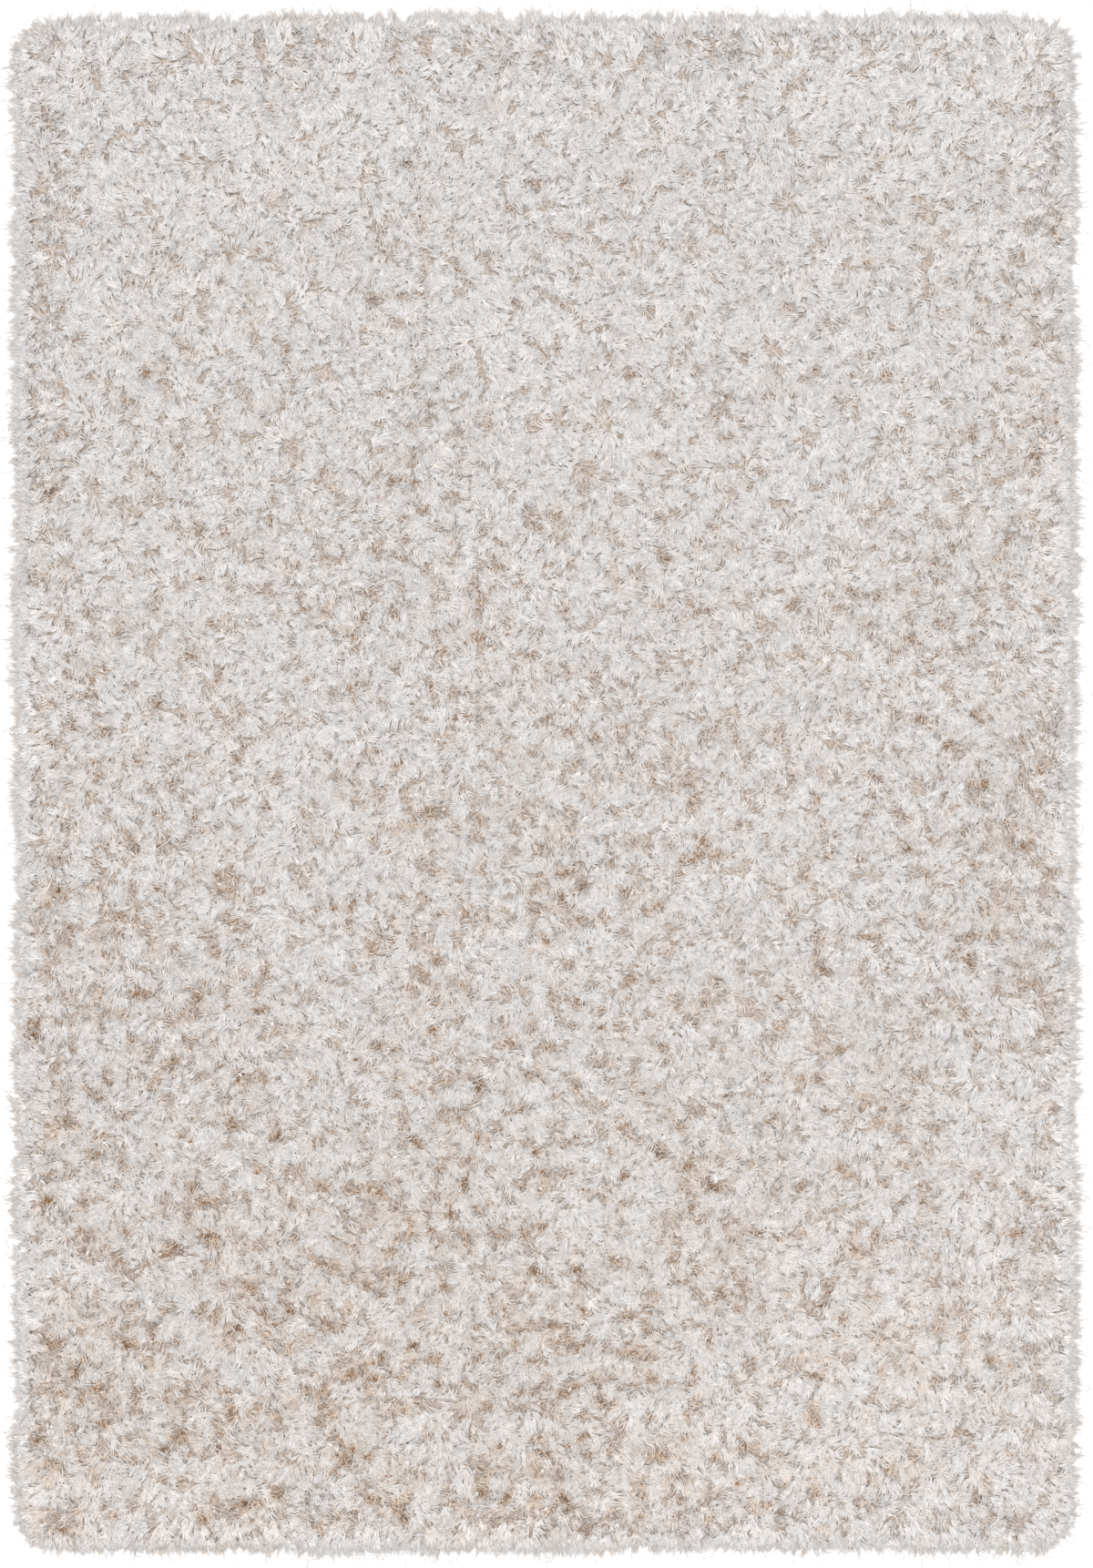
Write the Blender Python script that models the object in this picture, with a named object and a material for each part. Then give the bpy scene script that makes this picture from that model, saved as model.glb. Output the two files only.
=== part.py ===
"""Shag rug: a woven ground cloth that carries a deep pile of cut yarn.

Metres, +Z up. The origin is the middle of the rug's underside. X runs across the rug
and Y along it, and the rug lies flat on the plane Z = 0.
"""

import math

import bmesh
import bpy

# The rug as it lies, from pile tip to pile tip, and the usual height of its pile.
WIDTH = 1.600
LENGTH = 2.313
PILE_TOP = 0.038
CORNER_RADIUS = 0.065

# The ground cloth, and how far the yarn at its rim reaches out past it.
CLOTH_THICKNESS = 0.003
CLEARANCE = 0.0003
OVERHANG = 0.020

# The pile's side bulges most a little above the cloth. It rounds over above that, and
# draws in below it.
BULGE_HEIGHT = 0.012
SHOULDER = 0.045
UNDERSIDE_INSET = 0.004

# Insets from the outline at which the shoulder has its mesh lines, and the greatest
# spacing of the lines between the shoulders.
SHOULDER_INSETS = (0.0, 0.003, 0.009, 0.018, 0.030, 0.046, CORNER_RADIUS)
TOP_SPACING = 0.054

# Stretches of the outline where the yarn leans further out, or less far.
EDGE_SWELLS = (
    # side, middle along it, half length, lean out
    ("left", 0.950, 0.160, -0.0027),
    ("left", 0.440, 0.110, -0.0017),
    ("left", 0.276, 0.090, 0.0035),
    ("left", -0.050, 0.240, -0.0021),
    ("left", -0.620, 0.210, 0.0016),
    ("left", -1.050, 0.110, 0.0018),
    ("right", 1.060, 0.110, -0.0022),
    ("right", 0.770, 0.110, -0.0019),
    ("right", 0.020, 0.160, -0.0013),
    ("right", -0.500, 0.190, 0.0008),
    ("right", -0.790, 0.090, 0.0035),
    ("right", -1.040, 0.100, -0.0017),
    ("top", -0.700, 0.170, -0.0060),
    ("top", -0.440, 0.130, -0.0023),
    ("top", -0.160, 0.160, 0.0025),
    ("top", 0.085, 0.080, -0.0030),
    ("top", 0.490, 0.130, 0.0020),
    ("top", 0.730, 0.110, -0.0040),
    ("bottom", -0.640, 0.120, -0.0018),
    ("bottom", -0.250, 0.190, 0.0025),
    ("bottom", 0.250, 0.110, -0.0013),
    ("bottom", 0.590, 0.180, -0.0016),
)
SWELL_REACH = 0.018

# Shallow waves in the top of the pile, where the yarn stands up or lies down.
TOP_WAVES = (
    # repeats across, repeats along, start in turns, depth
    (3.0, -4.0, 0.10, 0.0004),
    (-5.0, 7.0, 0.45, 0.0004),
    (8.0, 11.0, 0.80, 0.0003),
    (11.0, -5.0, 0.30, 0.0003),
)

PILE_COLOUR = (0.66, 0.60, 0.55, 1.0)
CLOTH_COLOUR = (0.50, 0.44, 0.35, 1.0)
YARN_ROUGHNESS = 0.75
CLOTH_ROUGHNESS = 0.9


def clear_scene():
    """Removes whatever the scene holds."""
    for held in list(bpy.data.objects):
        bpy.data.objects.remove(held)


def mesh_lines(side):
    """Places of the mesh lines across that side of the rug, closer at its shoulders."""
    half = side / 2
    core = half - CORNER_RADIUS
    cells = math.ceil(2 * core / TOP_SPACING)
    inner = [-core + 2 * core * i / cells for i in range(1, cells)]
    shoulder = [half - inset for inset in SHOULDER_INSETS]
    return [-place for place in shoulder] + inner + shoulder[::-1]


def nearest_core(x, y):
    """The nearest point of the rectangle that holds the centres of the corner arcs."""
    core_x = WIDTH / 2 - CORNER_RADIUS
    core_y = LENGTH / 2 - CORNER_RADIUS
    return min(core_x, max(-core_x, x)), min(core_y, max(-core_y, y))


def with_round_corners(x, y):
    """Where a point of a square grid lies once its corners are bent into arcs."""
    core_x, core_y = nearest_core(x, y)
    past_x = abs(x - core_x)
    past_y = abs(y - core_y)
    if past_x == 0 or past_y == 0:
        return x, y
    reach = max(past_x, past_y)
    turn = math.pi / 4 * min(past_x, past_y) / reach
    if past_y > past_x:
        turn = math.pi / 2 - turn
    return (
        core_x + math.copysign(reach * math.cos(turn), x),
        core_y + math.copysign(reach * math.sin(turn), y),
    )


def inset_of(x, y):
    """How far inside the even outline a point lies."""
    core_x, core_y = nearest_core(x, y)
    outside_core = math.hypot(x - core_x, y - core_y)
    if outside_core > 0:
        return CORNER_RADIUS - outside_core
    return min(WIDTH / 2 - abs(x), LENGTH / 2 - abs(y))


def lean_out(side, along):
    """How far the yarn leans out at a place along one side."""
    total = 0.0
    for swell_side, middle, half_length, lean in EDGE_SWELLS:
        share = abs(along - middle) / half_length
        if swell_side == side and share < 1:
            total += lean * (1 + math.cos(math.pi * share)) / 2
    return total


def swollen(x, y):
    """The point moved with the uneven outline, less the further in it lies."""
    hold = max(0.0, 1 - inset_of(x, y) / SWELL_REACH) ** 2
    core_x, core_y = nearest_core(x, y)
    across = lean_out("left" if x < 0 else "right", y) * abs(x - core_x)
    along = lean_out("bottom" if y < 0 else "top", x) * abs(y - core_y)
    return (
        x + math.copysign(hold / CORNER_RADIUS, x) * across,
        y + math.copysign(hold / CORNER_RADIUS, y) * along,
    )


def top_height(x, y):
    """Height of the pile's upper side above the floor."""
    from_edge = min(1.0, inset_of(x, y) / SHOULDER)
    rounding = math.sqrt(max(0.0, 1 - (1 - from_edge) ** 2))
    wave = 0.0
    for repeats_across, repeats_along, start, depth in TOP_WAVES:
        turns = repeats_across * x / WIDTH + repeats_along * y / LENGTH + start
        wave += depth * math.sin(2 * math.pi * turns)
    return BULGE_HEIGHT + (PILE_TOP - BULGE_HEIGHT + wave) * rounding


def even_outline():
    """Points of the outline before it swells, anticlockwise from the lower left."""
    lines_x = mesh_lines(WIDTH)
    lines_y = mesh_lines(LENGTH)
    lower = [(x, lines_y[0]) for x in lines_x[:-1]]
    right = [(lines_x[-1], y) for y in lines_y[:-1]]
    upper = [(x, lines_y[-1]) for x in lines_x[:0:-1]]
    left = [(lines_x[0], y) for y in lines_y[:0:-1]]
    return [with_round_corners(x, y) for x, y in lower + right + upper + left]


def add_ring(mesh, inset, height):
    """A ring of vertices that follows the outline at that inset and height."""
    share = (CORNER_RADIUS - inset) / CORNER_RADIUS
    ring = []
    for x, y in even_outline():
        core_x, core_y = nearest_core(x, y)
        place = swollen(core_x + (x - core_x) * share, core_y + (y - core_y) * share)
        ring.append(mesh.verts.new((*place, height)))
    return ring


def bridge_rings(mesh, lower, upper):
    """A band of faces between two rings that match one to one."""
    for i, vertex in enumerate(lower):
        mesh.faces.new((lower[i - 1], vertex, upper[i], upper[i - 1]))


def add_top(mesh):
    """The pile's upper side, as a grid. Returns its border, anticlockwise."""
    rows = []
    for line_y in mesh_lines(LENGTH):
        row = []
        for line_x in mesh_lines(WIDTH):
            x, y = with_round_corners(line_x, line_y)
            row.append(mesh.verts.new((*swollen(x, y), top_height(x, y))))
        rows.append(row)
    for near, far in zip(rows, rows[1:]):
        for i in range(len(near) - 1):
            mesh.faces.new((near[i], near[i + 1], far[i + 1], far[i]))
    right = [row[-1] for row in rows]
    left = [row[0] for row in rows]
    return rows[0][:-1] + right[:-1] + rows[-1][:0:-1] + left[:0:-1]


def pile_mesh():
    """The pile's outer form, with a flat underside that lies on the cloth."""
    mesh = bmesh.new()
    border = add_top(mesh)
    underside = add_ring(mesh, UNDERSIDE_INSET, CLOTH_THICKNESS + CLEARANCE)
    bridge_rings(mesh, underside, border)
    mesh.faces.new(underside[::-1])
    return mesh


def cloth_mesh():
    """The ground cloth, a flat sheet with rounded corners."""
    mesh = bmesh.new()
    under = add_ring(mesh, OVERHANG, 0.0)
    upper = add_ring(mesh, OVERHANG, CLOTH_THICKNESS)
    bridge_rings(mesh, under, upper)
    mesh.faces.new(under[::-1])
    mesh.faces.new(upper)
    return mesh


def add_object(name, mesh, colour, roughness):
    """An object of that mesh in the scene, with its own material."""
    material = bpy.data.materials.new(name)
    material.use_nodes = True
    material.diffuse_color = colour
    shader = material.node_tree.nodes["Principled BSDF"]
    shader.inputs["Base Color"].default_value = colour
    shader.inputs["Roughness"].default_value = roughness
    data = bpy.data.meshes.new(name)
    mesh.to_mesh(data)
    mesh.free()
    data.materials.append(material)
    bpy.context.scene.collection.objects.link(bpy.data.objects.new(name, data))


clear_scene()
add_object("ground_cloth", cloth_mesh(), CLOTH_COLOUR, CLOTH_ROUGHNESS)
add_object("pile", pile_mesh(), PILE_COLOUR, YARN_ROUGHNESS)
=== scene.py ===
"""Looks of the shag rug: a ground cloth, and the cut yarn that is tufted through it.

Metres, +Z up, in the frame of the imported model. X runs across the rug and Y along it.
"""

import math

import bpy
import numpy as np
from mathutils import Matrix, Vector
from mathutils.kdtree import KDTree


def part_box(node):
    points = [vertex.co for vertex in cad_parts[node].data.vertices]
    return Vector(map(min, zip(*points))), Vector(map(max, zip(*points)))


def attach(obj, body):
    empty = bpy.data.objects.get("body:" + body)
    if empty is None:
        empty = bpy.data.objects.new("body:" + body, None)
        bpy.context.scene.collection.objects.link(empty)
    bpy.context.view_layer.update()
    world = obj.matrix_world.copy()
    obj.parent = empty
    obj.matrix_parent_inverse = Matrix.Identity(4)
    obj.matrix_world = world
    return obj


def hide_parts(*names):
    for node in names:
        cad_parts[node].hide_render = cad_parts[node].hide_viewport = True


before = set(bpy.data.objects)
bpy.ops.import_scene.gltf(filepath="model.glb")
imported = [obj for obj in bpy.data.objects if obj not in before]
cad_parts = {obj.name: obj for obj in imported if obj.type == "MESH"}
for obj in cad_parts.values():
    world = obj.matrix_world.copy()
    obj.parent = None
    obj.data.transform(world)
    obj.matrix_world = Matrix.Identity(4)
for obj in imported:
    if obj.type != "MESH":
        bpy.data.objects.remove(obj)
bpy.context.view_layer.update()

# ---- Ground cloth ----
# The plain woven cotton that every yarn is tufted through. It is cut to the rug's shape
# with rounded corners and lies flat on the floor. Its underside shows the rows of stitches.

cloth_low, cloth_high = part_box("ground_cloth")
CLOTH_WIDTH = cloth_high.x - cloth_low.x
CLOTH_LENGTH = cloth_high.y - cloth_low.y
CLOTH_TOP = cloth_high.z
CLOTH_ROUGHNESS = 0.9
THREADS = {"Scale": 120.0, "Distortion": 0.6}
THREAD_HEIGHT = 0.0006
THREAD_RELIEF = 0.6
THREAD_SHADE = (0.30, 0.25, 0.18, 1.0)
THREAD_LIGHT = (0.62, 0.55, 0.43, 1.0)
STITCH_YARN = (0.80, 0.75, 0.70, 1.0)
STITCHES = {
    "Scale": 1.0,
    "Brick Width": 0.011,
    "Row Height": 0.0075,
    "Mortar Size": 0.0019,
    "Mortar Smooth": 0.6,
}


def node(tree, kind, sockets, **settings):
    """A shader node of that kind. Its sockets take a value, or another node's output."""
    made = tree.nodes.new("ShaderNode" + kind)
    for name, value in settings.items():
        setattr(made, name, value)
    for name, value in sockets.items():
        if isinstance(value, bpy.types.NodeSocket):
            tree.links.new(value, made.inputs[name])
        else:
            made.inputs[name].default_value = value
    return made


def ramp(tree, source, stops):
    """A colour ramp with a colour at each place along it."""
    made = node(tree, "ValToRGB", {"Fac": source})
    elements = made.color_ramp.elements
    while len(elements) < len(stops):
        elements.new(1.0)
    for element, (position, colour) in zip(elements, stops):
        element.position = position
        element.color = colour
    return made.outputs["Color"]


def new_material(name, roughness):
    """A material with a Principled shader. Returns it with its tree and shader."""
    made = bpy.data.materials.new(name)
    made.use_nodes = True
    shader = made.node_tree.nodes["Principled BSDF"]
    shader.inputs["Roughness"].default_value = roughness
    return made, made.node_tree, shader


def finish_surface(tree, shader, colour, height, distance, strength):
    """Gives the shader its colour and the fine relief of its surface."""
    tree.links.new(colour, shader.inputs["Base Color"])
    bump = node(tree, "Bump", {"Height": height, "Distance": distance, "Strength": strength})
    tree.links.new(bump.outputs["Normal"], shader.inputs["Normal"])


def cloth_material():
    """Natural cotton canvas in two sets of threads, with the backs of the yarn's stitches."""
    made, tree, shader = new_material("canvas", CLOTH_ROUGHNESS)
    place = node(tree, "TexCoord", {}).outputs["Object"]
    warp = node(tree, "TexWave", {"Vector": place, **THREADS}, bands_direction="X")
    weft = node(tree, "TexWave", {"Vector": place, **THREADS}, bands_direction="Y")
    threads = {0: warp.outputs["Fac"], 1: weft.outputs["Fac"]}
    woven = node(tree, "Math", threads, operation="MULTIPLY").outputs[0]
    canvas = ramp(tree, woven, [(0.0, THREAD_SHADE), (1.0, THREAD_LIGHT)])
    stitches = node(tree, "TexBrick", {"Vector": place, **STITCHES}, offset=0.5)
    colours = {"Factor": stitches.outputs["Fac"], "A": STITCH_YARN, "B": canvas}
    both = node(tree, "Mix", colours, data_type="RGBA")
    raised = {0: stitches.outputs["Fac"], 1: -1.0, 2: woven}
    height = node(tree, "Math", raised, operation="MULTIPLY_ADD").outputs[0]
    finish_surface(tree, shader, both.outputs["Result"], height, THREAD_HEIGHT, THREAD_RELIEF)
    return made


ground_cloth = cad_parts["ground_cloth"]
ground_cloth.data.materials.clear()
ground_cloth.data.materials.append(cloth_material())

# ---- Depth of the pile ----
# The lower lengths of the yarn, pressed together so closely that they read as one mass.
# Its colour is painted shade, warm and dark, for the shadow among close yarns. It is
# what shows in the gaps between the tufts.

RIM_HEIGHT = 0.012
PILE_HEIGHT = 0.038
SHOULDER = 0.045
SAME_HEIGHT = 0.0005
GRID_STEP = 0.004
GRID_MARGIN = 0.06
KNOTS_BEFORE = 2
KNOTS_SPARE = 6
DEPTH_CELLS = (90, 130)
DEPTH_INSET = 0.014
DEPTH_DRAWN_IN = 4
DEPTH_SHARE = 0.62
DEPTH_RISE = 1.5
DEPTH_SWELLS = (0.0004, 0.0015, 0.013)
DEPTH_SWELLS_FROM = 0.02
DEPTH_ROUGHNESS = 0.9
DEPTH_SHADE = (0.40, 0.315, 0.25, 1.0)
DEPTH_LIGHT = (0.74, 0.68, 0.635, 1.0)
DEPTH_BLEND = (0.40, 0.60)
DEPTH_PATCHES = 95.0
DEPTH_STRIPES = (450.0, 90.0, 90.0)
DEPTH_BREAKS = {"Scale": 1.0, "Detail": 2.0}
DEPTH_STRIPE_HEIGHT = 0.002
DEPTH_RELIEF = 1.0

pile_low, pile_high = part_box("pile")
pile_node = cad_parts["pile"]
rng = np.random.default_rng(41)


def rim_outline():
    """The rug's outline: the pile's points at the height of its bulge, in order round it."""
    corners = np.array([v.co for v in pile_node.data.vertices])
    ring = corners[np.abs(corners[:, 2] - RIM_HEIGHT) < SAME_HEIGHT][:, :2]
    ring = np.unique(np.round(ring, 5), axis=0)
    return ring[np.argsort(np.arctan2(ring[:, 1], ring[:, 0]))]


def inset_from(outline, x, y):
    """How far inside the outline each point lies, and less than 0 outside it."""
    nearest = np.full(x.shape, 1e9)
    inside = np.zeros(x.shape, bool)
    for (ax, ay), (bx, by) in zip(outline, np.roll(outline, -1, axis=0)):
        dx, dy = bx - ax, by - ay
        share = np.clip(((x - ax) * dx + (y - ay) * dy) / (dx * dx + dy * dy), 0, 1)
        nearest = np.minimum(nearest, np.hypot(x - ax - share * dx, y - ay - share * dy))
        crosses = (ay > y) != (by > y)
        inside ^= crosses & (x < ax + (y - ay) / (dy if dy else 1e-12) * dx)
    return np.where(inside, nearest, -nearest)


outline = rim_outline()
grid_x = np.arange(pile_low.x - GRID_MARGIN, pile_high.x + GRID_MARGIN, GRID_STEP)
grid_y = np.arange(pile_low.y - GRID_MARGIN, pile_high.y + GRID_MARGIN, GRID_STEP)
inset_grid = inset_from(outline, *np.meshgrid(grid_x, grid_y))


def read_grid(values, x, y):
    """A grid's value at each point, between its four nearest places."""
    gx = np.clip((x - grid_x[0]) / GRID_STEP, 0, len(grid_x) - 1.001)
    gy = np.clip((y - grid_y[0]) / GRID_STEP, 0, len(grid_y) - 1.001)
    ix, iy = gx.astype(int), gy.astype(int)
    tx, ty = gx - ix, gy - iy
    low = values[iy, ix] * (1 - tx) + values[iy, ix + 1] * tx
    high = values[iy + 1, ix] * (1 - tx) + values[iy + 1, ix + 1] * tx
    return low * (1 - ty) + high * ty


def outward(x, y):
    """The direction that leads out of the rug by the shortest way, at each point."""
    out_x = read_grid(inset_grid, x - GRID_STEP, y) - read_grid(inset_grid, x + GRID_STEP, y)
    out_y = read_grid(inset_grid, x, y - GRID_STEP) - read_grid(inset_grid, x, y + GRID_STEP)
    size = np.maximum(np.hypot(out_x, out_y), 1e-6)
    return out_x / size, out_y / size


def drift(x, y, spacing):
    """Values from -1 to 1 that wander smoothly over the rug, between knots so far apart."""
    across = int((pile_high.x - pile_low.x) / spacing) + KNOTS_SPARE
    along = int((pile_high.y - pile_low.y) / spacing) + KNOTS_SPARE
    knots = rng.uniform(-1, 1, (along, across))
    gx = (x - pile_low.x) / spacing + KNOTS_BEFORE
    gy = (y - pile_low.y) / spacing + KNOTS_BEFORE
    ix, iy = gx.astype(int), gy.astype(int)
    tx, ty = gx - ix, gy - iy
    tx, ty = tx * tx * (3 - 2 * tx), ty * ty * (3 - 2 * ty)
    low = knots[iy, ix] * (1 - tx) + knots[iy, ix + 1] * tx
    high = knots[iy + 1, ix] * (1 - tx) + knots[iy + 1, ix + 1] * tx
    return low * (1 - ty) + high * ty


def wander(places, amount, spacing):
    """Values that wander smoothly over the rug at those places, up to that amount."""
    return amount * drift(*places.T, spacing)


def pile_top(inset):
    """Height of the pile's form at that inset: it rounds over at the shoulder."""
    from_edge = np.clip(inset / SHOULDER, 0, 1)
    return RIM_HEIGHT + (PILE_HEIGHT - RIM_HEIGHT) * np.sqrt(1 - (1 - from_edge) ** 2)


def add_piece(name, points, faces, material, attributes, places):
    """A mesh of those points and faces, with its attributes and its places for a bake."""
    data = bpy.data.meshes.new(name)
    sides = faces.shape[1]
    corners = faces.ravel().astype(np.int32)
    data.vertices.add(len(points))
    data.vertices.foreach_set("co", points.astype(np.float32).ravel())
    data.loops.add(len(corners))
    data.loops.foreach_set("vertex_index", corners)
    data.polygons.add(len(faces))
    data.polygons.foreach_set("loop_start", np.arange(0, len(corners), sides, dtype=np.int32))
    data.polygons.foreach_set("use_smooth", np.ones(len(faces), bool))
    for title, values in attributes.items():
        held = data.attributes.new(title, "FLOAT", "POINT")
        held.data.foreach_set("value", values.astype(np.float32).ravel())
    layer = data.uv_layers.new(name="OFBake")
    layer.uv.foreach_set("vector", places[corners].astype(np.float32).ravel())
    data.update(calc_edges=True)
    data.materials.append(material)
    piece = bpy.data.objects.new(name, data)
    bpy.context.scene.collection.objects.link(piece)
    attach(piece, "root")
    return piece


def depth_material():
    """Warm painted shade, broken up like the sides of many close yarns."""
    made, tree, shader = new_material("pile_depth", DEPTH_ROUGHNESS)
    place = node(tree, "TexCoord", {}).outputs["Object"]
    patches = node(tree, "TexVoronoi", {"Vector": place, "Scale": DEPTH_PATCHES})
    sockets = {0: patches.outputs["Color"], 1: 2 * math.pi}
    angle = node(tree, "Math", sockets, operation="MULTIPLY").outputs[0]
    sockets = {"Vector": place, "Angle": angle}
    every_way = node(tree, "VectorRotate", sockets, rotation_type="Z_AXIS").outputs["Vector"]
    stretch = node(tree, "Mapping", {"Vector": every_way, "Scale": DEPTH_STRIPES}).outputs[0]
    stripes = node(tree, "TexNoise", {"Vector": stretch, **DEPTH_BREAKS}).outputs["Fac"]
    colour = ramp(tree, stripes, list(zip(DEPTH_BLEND, (DEPTH_SHADE, DEPTH_LIGHT))))
    finish_surface(tree, shader, colour, stripes, DEPTH_STRIPE_HEIGHT, DEPTH_RELIEF)
    return made


def add_depth():
    """An uneven mass that fills the lower part of the pile's form."""
    nx, ny = DEPTH_CELLS
    u, v = np.meshgrid(np.linspace(0, 1, nx + 1), np.linspace(0, 1, ny + 1))
    x = pile_low.x + u * (pile_high.x - pile_low.x)
    y = pile_low.y + v * (pile_high.y - pile_low.y)
    for _ in range(DEPTH_DRAWN_IN):
        short = np.maximum(DEPTH_INSET - read_grid(inset_grid, x, y), 0)
        out_x, out_y = outward(x, y)
        x, y = x - short * out_x, y - short * out_y
    inset = read_grid(inset_grid, x, y) - DEPTH_INSET
    height = CLOTH_TOP + (pile_top(DEPTH_RISE * inset) - RIM_HEIGHT) * DEPTH_SHARE
    least, swell, spacing = DEPTH_SWELLS
    swells = least + swell * (drift(x, y, spacing) + 1)
    height += swells * np.clip(inset / DEPTH_SWELLS_FROM, 0, 1)
    index = np.arange((nx + 1) * (ny + 1)).reshape(ny + 1, nx + 1)
    quads = np.stack([index[:-1, :-1], index[:-1, 1:], index[1:, 1:], index[1:, :-1]], axis=-1)
    points = np.stack([x, y, height], axis=-1).reshape(-1, 3)
    places = np.stack([u, v], axis=-1).reshape(-1, 2)
    return add_piece("pile_depth", points, quads.reshape(-1, 4), depth_material(), {}, places)


pile_depth = add_depth()

# ---- Tufts ----
# Each tuft is a bundle of soft polyester yarns, pulled through the cloth and cut. They
# stand at the root, lean over and splay, so that a tuft lies like a fan on the next one.
# Here and there tufts fall apart from each other, and their lower yarn shows, in painted shade.

ROW_PITCH = 0.0235
TUFT_PITCH = 0.0290
ROOT_JITTER = 0.42
ROOT_INSET = 0.0215
ROOT_MARGIN = 0.002
LOCK_PITCH = 0.0062
LOCK_JITTER = 0.5
LOCK_LENGTH = 0.048
LOCK_LENGTHS = (0.85, 1.08)
LOCK_WIDTH = 0.0076
LOCK_WIDTHS = (0.7, 1.25)
LOCK_LEANS = (0.80, 0.95)
LOCK_STRAY = 0.40
LOCK_ROLL = 0.20
DROOP = 105
BEND_GROWTH = 1.2
BEND_LIMITS = (0.05, math.radians(140))
STEP_SHARES = (0.35, 0.35, 0.30)
RIPPLE = 0.0004
ARCH = 0.0008
CURL = 0.0035
TIP_REACHES = (0.55, 1.15)
TIP_STRAY = 0.0018
TIP_SPREAD = 1.35
TIP_LIFT = 0.0010
TIP_ROLL = 1.5
FLOOR_GAP = 0.001
KNEE = 0.036
KNEE_SHARE = 0.3
CLUMPING = 0.22
SPLAY = 45.0
TUFT_PIECES = 5
half_x, half_y = CLOTH_WIDTH / 2 - ROOT_MARGIN, CLOTH_LENGTH / 2 - ROOT_MARGIN

# One lock is a slip of yarns side by side: one corner where it leaves the mass, five
# across its middle, and four at the tips of its yarns.
ACROSS = np.array([0.5, 0, 0.25, 0.5, 0.75, 1, 0.125, 0.375, 0.625, 0.875])
ALONG = np.array([0.1] + [0.6] * 5 + [1.0] * 4)
LOCK_FACES = np.array([
    [0, 2, 1], [0, 3, 2], [0, 4, 3], [0, 5, 4],
    [1, 2, 6], [2, 3, 7], [3, 4, 8], [4, 5, 9],
])
LOCK_CORNERS = len(ACROSS)
MIDDLE, LEFT_TIP, RIGHT_TIP = 3, 7, 8

# The ivory from its coolest to its warmest, and the painted shade that dims and warms it
# from the top of the pile down. Pits are small dark spots of painted shade where gaps
# between fibres lie, and most of them lie in the partings.
YARN_TINTS = [
    (0.0, (0.965, 0.944, 0.936, 1.0)),
    (0.5, (0.955, 0.909, 0.880, 1.0)),
    (1.0, (0.880, 0.740, 0.620, 1.0)),
]
YARN_PAINTED_SHADE = [(0.0, (1.0, 1.0, 1.0, 1.0)), (1.0, (0.43, 0.275, 0.160, 1.0))]
YARN_VALUES = ("Across", "Along", "Lot", "Tint", "Tone", "Hollow", "Parted")
YARN_ROUGHNESS = 0.42
STREAK_SCALE = (4.0, 0.8, 1.0)
STREAK_BREAKS = {"Scale": 1.0, "Detail": 2.0, "Roughness": 0.7}
STREAK_RANGE = (0.3, 0.7)
STREAK_TONES = (0.755, 1.06)
STREAK_HEIGHT = 0.0012
STREAK_RELIEF = 0.8
PIT_SCALE = (4.5, 5.0, 1.0)
PIT_PLACE = (7.0, 3.0, 0.5)
PIT_BREAKS = {"Scale": 1.0, "Detail": 1.0}
PITS_IN_PARTING = 0.275
PIT_RANGE = (0.655, 0.72)


def yarn_colour():
    """Shader nodes that every yarn shares: its colour, and the streaks of its fibres.

    Across and Along say where on its lock a point lies, and Lot gives each lock fibres of
    its own. Tint makes the ivory warmer and Tone paler. Hollow and Parted add painted
    shade to what lies deep.
    """
    group = bpy.data.node_groups.new("yarn_colour", "ShaderNodeTree")
    for name in YARN_VALUES:
        group.interface.new_socket(name, in_out="INPUT", socket_type="NodeSocketFloat")
    group.interface.new_socket("Color", in_out="OUTPUT", socket_type="NodeSocketColor")
    group.interface.new_socket("Streaks", in_out="OUTPUT", socket_type="NodeSocketFloat")
    given = group.nodes.new("NodeGroupInput").outputs
    sockets = {"X": given["Across"], "Y": given["Along"], "Z": given["Lot"]}
    place = node(group, "CombineXYZ", sockets).outputs[0]

    stretch = node(group, "Mapping", {"Vector": place, "Scale": STREAK_SCALE}).outputs[0]
    streaks = node(group, "TexNoise", {"Vector": stretch, **STREAK_BREAKS}).outputs["Fac"]
    sockets = {
        "Value": streaks,
        "From Min": STREAK_RANGE[0],
        "From Max": STREAK_RANGE[1],
        "To Min": STREAK_TONES[0],
        "To Max": STREAK_TONES[1],
    }
    streak_tone = node(group, "MapRange", sockets).outputs[0]
    sockets = {0: given["Tone"], 1: streak_tone}
    tone = node(group, "Math", sockets, operation="MULTIPLY").outputs[0]

    sockets = {"Vector": place, "Scale": PIT_SCALE, "Location": PIT_PLACE}
    coarse = node(group, "Mapping", sockets).outputs[0]
    pits = node(group, "TexNoise", {"Vector": coarse, **PIT_BREAKS}).outputs["Fac"]
    sockets = {0: given["Parted"], 1: PITS_IN_PARTING, 2: pits}
    pits = node(group, "Math", sockets, operation="MULTIPLY_ADD").outputs[0]
    sockets = {"Value": pits, "From Min": PIT_RANGE[0], "From Max": PIT_RANGE[1]}
    pits = node(group, "MapRange", sockets).outputs[0]
    # Painted shade: hollows and pits darken and warm the yarn through the shade ramp.
    sockets = {0: given["Hollow"], 1: pits}
    deep = node(group, "Math", sockets, operation="ADD", use_clamp=True).outputs[0]

    sockets = {
        "Factor": 1.0,
        "A": ramp(group, given["Tint"], YARN_TINTS),
        "B": ramp(group, deep, YARN_PAINTED_SHADE),
    }
    shaded = node(group, "Mix", sockets, data_type="RGBA", blend_type="MULTIPLY")
    sockets = {"Color": shaded.outputs["Result"], "Value": tone}
    toned = node(group, "HueSaturation", sockets).outputs["Color"]
    put_out = group.nodes.new("NodeGroupOutput").inputs
    group.links.new(toned, put_out["Color"])
    group.links.new(streaks, put_out["Streaks"])
    return group


yarn_nodes = yarn_colour()


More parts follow.
